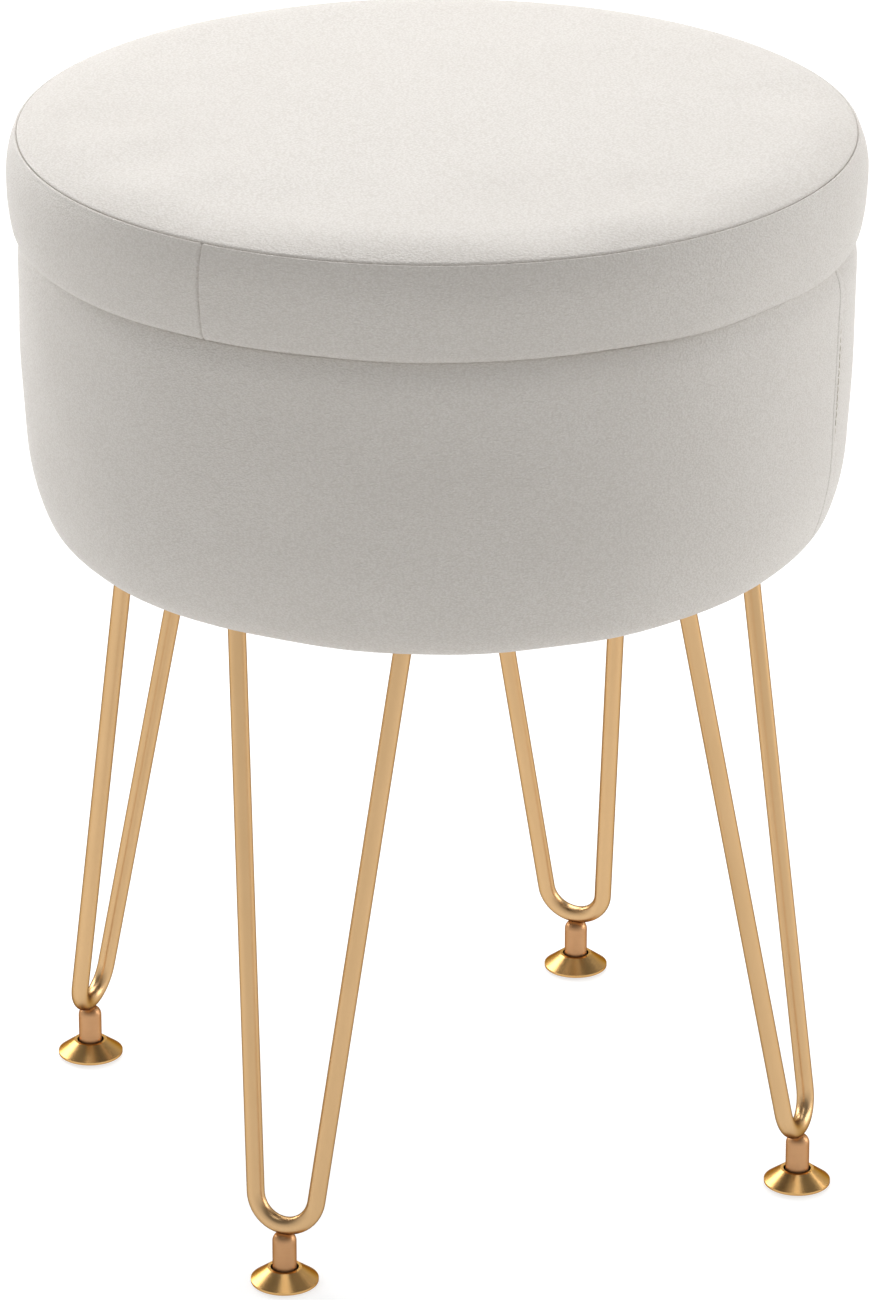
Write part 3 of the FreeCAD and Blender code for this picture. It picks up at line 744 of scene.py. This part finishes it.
def seamStitches():
    wall = drumWallPath(0.0, 4)
    lengths = lengthAlong(wall)
    face = outward(wall)
    angle = math.radians(drum["seamAngle"]) + drum["stitchAside"] / drumHigh.x
    sunk = (-0.5, 0.0, 0.12, 0.0, -0.5)  # ends go down into the leather
    stitches = []
    for start in np.arange(0.5 * stitch["pitch"], lengths[-1] - stitch["pitch"], stitch["pitch"]):
        spine = []
        for k, lift in enumerate(sunk):
            at = start + stitch["length"] * k / (len(sunk) - 1)
            spot = [np.interp(at, lengths, wall[:, c]) for c in (0, 1)]
            out = [np.interp(at, lengths, face[:, c]) for c in (0, 1)]
            off = lift * stitch["height"] - drum["stitchDip"] * 0.6
            radius = spot[0] + off * out[0]
            spine.append((radius * math.cos(angle), radius * math.sin(angle), spot[1] + off * out[1]))
        up = Vector((out[0] * math.cos(angle), out[0] * math.sin(angle), out[1]))
        stitches.append(bar(spine, stitch["width"], stitch["height"], up, stitch["sides"]))
    return together(stitches)


addPiece("drumSeamStitches", seamStitches(), thread, "drum")


# Drum foam, side lining and dust cover

drumFoam = {"cornerFoam": 4 * mm, "overWall": 5 * mm}
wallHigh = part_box("drum_wall")[1]


def drumFoamShell():
    inset = drum["cover"] + foam["gap"]
    inner = wallHigh.x - drumFoam["overWall"]
    face = joined(straightRun((inner, drumHigh.z - inset), (rimCentre[0], drumHigh.z - inset), 2),
                  arcRun(rimCentre, drum["rimRoll"] - inset, 90, math.degrees(rimTurn), 6),
                  drumWallPath(inset))
    deep = drumWallPath(inset + drumFoam["cornerFoam"] - foam["gap"])
    back = np.stack([np.minimum(deep[:, 0], wallHigh.x + foam["gap"]), deep[:, 1]], axis=1)
    back = back[back[:, 1] < wallHigh.z - drumFoam["overWall"]]
    top = wallHigh.z + foam["gap"]
    back = joined(straightRun((face[0, 0], top), (wallHigh.x + foam["gap"], top)), back)
    return skin([*turned(face, coarseAngles), *turned(back, coarseAngles)[::-1]])


drumPad = addPiece("drumFoamWrap", drumFoamShell(), finishes["foam"], "drum")
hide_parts("drum_padding")

sideLining = {"thickness": 0.8 * mm, "hem": 9 * mm, "hemHeight": 0.6 * mm, "ripple": 0.35 * mm, "ripples": 26,
              "joinAngle": 90, "joinHeight": 0.5 * mm, "joinWidth": 12 * mm}


def sideLiningShell():
    radius = sideHigh.x - sideLining["thickness"]
    hemLine = sideHigh.z - sideLining["hem"]
    heights = np.r_[np.linspace(sideLow.z, hemLine - 0.4 * mm, 18), hemLine,
                    np.linspace(hemLine + 0.6 * mm, sideHigh.z, 5)]
    face = np.stack([np.full(len(heights), radius), heights], axis=1)
    share = (heights - sideLow.z) / (hemLine - sideLow.z)
    loose = np.clip(4 * share * (1 - share), 0, 1)[:, None]
    lift = sideLining["ripple"] * loose * gathered(evenAngles, sideLining["ripples"], 0.4)
    lift = lift + sideLining["hemHeight"] * (heights >= hemLine)[:, None]
    overlap = np.abs(aside(evenAngles, sideLining["joinAngle"], radius)) < sideLining["joinWidth"] / 2
    lift = lift + sideLining["joinHeight"] * overlap * (share > 0.05)[:, None]
    back = np.stack([np.full(2, sideHigh.x), (sideHigh.z, sideLow.z)], axis=1)
    return skin([*turned(face, evenAngles, lift), *turned(back, evenAngles)])


liner = addPiece("drumSideLining", sideLiningShell(), finishes["lining"], "drum")
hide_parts("drum_lining")

dust = {"thickness": 0.8 * mm, "sag": 1.1 * mm, "pull": 0.35 * mm, "pullWidth": 14 * mm, "staples": 20,
        "stapleInset": 5 * mm, "crown": 10 * mm, "wire": (1.2 * mm, 0.6 * mm), "leg": 3 * mm}
dustLow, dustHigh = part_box("dust_cover")


def dustCoverShell():
    radii = np.r_[np.linspace(dustHigh.x, dustHigh.x - 16 * mm, 9), np.linspace(dustHigh.x - 22 * mm, 0, 15)]
    face = np.stack([radii, np.full(len(radii), dustLow.z)], axis=1)
    share = radii / dustHigh.x
    edge = np.exp(-((1 - share) * dustHigh.x / dust["pullWidth"]) ** 2)[:, None]
    between = 0.5 - 0.5 * np.cos(dust["staples"] * evenAngles)
    lift = dust["sag"] * (1 - share ** 2)[:, None] + dust["pull"] * edge * between
    back = face + np.array((0, dust["thickness"]))
    return skin([*turned(back, evenAngles, lift)[::-1], *turned(face, evenAngles, lift)])


def dustStaples():
    staples = []
    reach = dustHigh.x - dust["stapleInset"]
    low = dustLow.z - dust["wire"][1] / 2
    half = dust["crown"] / 2
    shape = [(-half, dust["leg"]), (-half, 0.5 * mm), (-half + 0.5 * mm, 0), (half - 0.5 * mm, 0),
             (half, 0.5 * mm), (half, dust["leg"])]
    for k in range(dust["staples"]):
        angle = 2 * math.pi * k / dust["staples"]
        x, y = math.cos(angle), math.sin(angle)
        spine = [(reach * x - a * y, reach * y + a * x, low + h) for a, h in shape]
        staples.append(bar(spine, *dust["wire"], Vector((x, y, 0)), 8))
    return together(staples)


dustCover = addPiece("dustCover", dustCoverShell(), finishes["lining"], "drum")
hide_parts("dust_cover")
addPiece("dustCoverStaples", dustStaples(), finishes["zinc_steel"], "drum")
print("linings made")


# Screws with a cross recess, threaded studs and weld beads

screwKinds = {
    "legScrews": {"node": "leg_screws", "body": "drum", "head": 5.5 * mm, "headHeight": 3.2 * mm,
                  "shank": 3 * mm, "crossLength": 2.9 * mm, "crossWidth": 0.75 * mm, "crossDepth": 1.7 * mm},
    "lidScrews": {"node": "lid_screws", "body": "lid", "head": 4 * mm, "headHeight": 2.2 * mm,
                  "shank": 2 * mm, "crossLength": 2.2 * mm, "crossWidth": 0.6 * mm, "crossDepth": 1.2 * mm},
}
screwReach = 8 * mm  # more than a shank is wide, less than the screws are apart


def crossScrew(kind, height):
    # head down, from its face at zero height to the tip of its shank
    angles = roundAngles(steps=48)
    bend = kind["headHeight"] * 0.55
    domed = arcRun((kind["head"] - bend, bend), bend, 0, -80, 6)
    faceRadii = np.linspace(domed[-1, 0], 0, 16)
    dome = domed[-1, 1] * (faceRadii / domed[-1, 0]) ** 2
    path = joined(straightRun((0, height), (kind["shank"] * 0.8, height)),
                  straightRun((kind["shank"], height - 0.6 * mm), (kind["shank"], kind["headHeight"])),
                  straightRun((kind["head"], kind["headHeight"]), (kind["head"], bend)),
                  domed, np.stack([faceRadii, dome], axis=1))
    rings = turned(path, angles)
    onFace = path[:, 1] < domed[-1, 1] + 1e-6
    x, y = np.abs(rings[..., 0]), np.abs(rings[..., 1])
    arm = np.maximum(np.minimum(1 - x / kind["crossLength"], 1 - y / kind["crossWidth"]),
                     np.minimum(1 - y / kind["crossLength"], 1 - x / kind["crossWidth"]))
    rings[..., 2] += onFace[:, None] * kind["crossDepth"] * np.clip(2.5 * arm, 0, 1)
    rings[-1, :, 2] = rings[-1, :, 2].max()
    return skin(rings)


def screwSpots(node, top):
    # the middle of each shank's end, from its vertices
    groups = []
    ends = [vertex.co for vertex in frame["nodes"][node].data.vertices if vertex.co.z > top - 0.05 * mm]
    for place in [end[:2] for end in ends]:
        near = [group for group in groups if math.dist(group[0], place) < screwReach]
        if near:
            near[0].append(place)
        else:
            groups.append([place])
    return [(np.max(group, axis=0) + np.min(group, axis=0)) / 2 for group in groups]


for name, kind in screwKinds.items():
    low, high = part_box(kind["node"])
    one = crossScrew(kind, high.z - low.z)
    copies = []
    for spot in screwSpots(kind["node"], high.z):
        copies.append(movedMesh(one, lambda p: p + Vector((*spot, low.z))))
    screws = addPiece(name, together(copies), finishes["zinc_steel"], kind["body"])
    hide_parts(kind["node"])
    print(name, len(copies))

stud = {"pitch": 1 * mm, "threadDepth": 0.5 * mm, "radius": 3 * mm, "headThickness": 1.5 * mm,
        "chamfer": 0.3 * mm, "steps": 8}


def threadedStud(height, headRadius):
    angles = roundAngles(steps=36)
    inside = stud["radius"] - stud["threadDepth"]
    headTop, chamfer = stud["headThickness"], stud["chamfer"]
    turns = np.arange(height - 0.8 * mm, headTop + chamfer, -stud["pitch"] / stud["steps"])
    path = joined(straightRun((0, height), (inside, height)),
                  np.stack([np.full(len(turns), inside), turns], axis=1),
                  straightRun((inside, headTop), (headRadius - chamfer, headTop), 3),
                  straightRun((headRadius, headTop - chamfer), (headRadius, chamfer)),
                  straightRun((headRadius - chamfer, 0), (0, 0), 3))
    rings = turned(path, angles)
    climb = np.mod(path[:, 1:] / stud["pitch"] - angles / (2 * math.pi), 1)
    crest = np.clip(1.25 - 2.5 * np.abs(climb - 0.5), 0, 1) * stud["threadDepth"]
    onThread = np.isin(path[:, 1], turns)[:, None]
    scale = 1 + onThread * crest / inside
    rings[..., 0] *= scale
    rings[..., 1] *= scale
    return skin(rings)


for leg in legAngles:
    low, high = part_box("foot_stud_" + leg)
    centre = (low + high) / 2
    made = threadedStud(high.z - low.z, (high.x - low.x) / 2)
    made = movedMesh(made, lambda p: p + Vector((centre.x, centre.y, low.z)))
    piece = addPiece("threadedStud_" + leg, made, finishes["zinc_steel"], "foot_" + leg, 60)
    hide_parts("foot_stud_" + leg)

weld = {"rodCircle": 134.1 * mm, "rodSpacing": 79.2 * mm, "rod": 4 * mm, "bead": 1.5 * mm,
        "ripple": 0.18 * mm, "drops": 17}


def weldBead(x, y, height):
    # a bead laid round a rod end, in overlapping drops
    rings = []
    steps = 68
    for k in range(steps):
        angle = 2 * math.pi * k / steps
        size = weld["bead"] + weld["ripple"] * abs(math.sin(angle * weld["drops"] / 2))
        way = Vector((math.cos(angle), math.sin(angle), 0))
        middle = Vector((x, y, height)) + way * weld["rod"]
        rings.append(np.array([middle + way * (size * math.cos(t)) + Vector((0, 0, size * 0.8 * math.sin(t)))
                               for t in np.linspace(0, 2 * math.pi, 10, endpoint=False)]))
    return skin(rings)


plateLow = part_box("leg_plate_right")[0].z
for leg, degrees in legAngles.items():
    beads = []
    for side in (-1, 1):
        bead = weldBead(weld["rodCircle"], side * weld["rodSpacing"] / 2, plateLow)
        turn = math.radians(degrees)
        beads.append(movedMesh(bead, lambda p: (p.x * math.cos(turn) - p.y * math.sin(turn),
                                                p.x * math.sin(turn) + p.y * math.cos(turn), p.z)))
    addPiece("legWelds_" + leg, together(beads), finishes["gold_rod"], "drum", 80)
print("studs and welds made")


# Camera at the photograph's place, and a plain studio

view = {"place": (1.10939, -2.69828, 1.44924), "azimuth": 22.35, "down": 22.569, "lens": 192.41}
camera = bpy.data.objects.new("camera", bpy.data.cameras.new("camera"))
camera.location = view["place"]
camera.rotation_euler = (math.radians(90 - view["down"]), 0, math.radians(view["azimuth"]))
camera.data.lens = view["lens"]
camera.data.sensor_width = 36
bpy.context.scene.collection.objects.link(camera)
bpy.context.scene.camera = camera

lamps = {  # azimuth and elevation as seen from the drum, distance, width, height, watts
    "behind": (202, 48, 3.0, 2.4, 1.8, 61),
    "top": (202, 86, 3.0, 1.3, 2.4, 20),
    "left": (252, 24, 2.2, 1.0, 1.4, 23),
    "right": (126, 14, 2.2, 1.0, 1.4, 16),
}
aim = Vector((0, 0, 0.35))
for name, (azimuth, elevation, distance, width, height, watts) in lamps.items():
    data = bpy.data.lights.new(name, "AREA")
    data.shape = "RECTANGLE"
    data.size = width
    data.size_y = height
    data.energy = watts
    lamp = bpy.data.objects.new(name, data)
    a = math.radians(azimuth)
    e = math.radians(elevation)
    back = Vector((math.sin(a) * math.cos(e), -math.cos(a) * math.cos(e), math.sin(e)))
    lamp.location = aim + back * distance
    lamp.rotation_euler = back.to_track_quat("Z", "Y").to_euler()
    bpy.context.scene.collection.objects.link(lamp)

# white sweep all round, dim ceiling above it; angles in degrees
studio = {"skyLight": 0.86, "whiteUpTo": 14, "dimFrom": 48, "ceiling": 0.22, "floorSize": 12.0,
          "floorColour": "#FCFCFB", "floorSeen": "#A8A8A8", "floorGlow": 0.72}
world = bpy.data.worlds.new("studio")
world.use_nodes = True
bpy.context.scene.world = world
world.node_tree.nodes.clear()
way = addNode(world.node_tree, "TexCoord").outputs["Generated"]
height = addNode(world.node_tree, "SeparateXYZ", {0: way}).outputs["Z"]
sweep = addNode(world.node_tree, "MapRange", {
    "Value": height, "From Min": math.sin(math.radians(studio["whiteUpTo"])),
    "From Max": math.sin(math.radians(studio["dimFrom"])), "To Min": 1.0, "To Max": studio["ceiling"],
}, interpolation_type="SMOOTHSTEP").outputs[0]
backdrop = addNode(world.node_tree, "Background", {"Color": sweep, "Strength": studio["skyLight"]})
addNode(world.node_tree, "OutputWorld", {"Surface": backdrop.outputs[0]})


def paleFloor():
    # Matt white vinyl roll: evenly pale; what the lens and the metal see of it glows a little,
    # under the shadow
    material, tree, place = newMaterial("paleFloor")
    rays = addNode(tree, "LightPath")
    mirror = addNode(tree, "Math", {0: rays.outputs["Is Glossy Ray"], 1: rays.outputs["Is Transmission Ray"]},
                     operation="MAXIMUM")
    seen = addNode(tree, "Math", {0: rays.outputs["Is Camera Ray"], 1: mirror.outputs[0]},
                   operation="MAXIMUM")
    plain = addNode(tree, "BsdfDiffuse", {"Color": linear(studio["floorColour"])})
    shown = addNode(tree, "BsdfDiffuse", {"Color": linear(studio["floorSeen"])})
    glow = addNode(tree, "Emission", {"Strength": studio["floorGlow"]})
    bright = addNode(tree, "AddShader", {0: shown.outputs[0], 1: glow.outputs[0]})
    mixed = addNode(tree, "MixShader", {0: seen.outputs[0], 1: plain.outputs[0], 2: bright.outputs[0]})
    addNode(tree, "OutputMaterial", {"Surface": mixed.outputs[0]})
    return material


half = studio["floorSize"] / 2
floorData = bpy.data.meshes.new("floor")
floorCorners = [(-half, -half, 0), (half, -half, 0), (half, half, 0), (-half, half, 0)]
floorData.from_pydata(floorCorners, [], [(0, 1, 2, 3)])
floorData.materials.append(paleFloor())
floor = bpy.data.objects.new("floor", floorData)
bpy.context.scene.collection.objects.link(floor)

bpy.context.scene.view_settings.view_transform = "Standard"
print("studio ready")
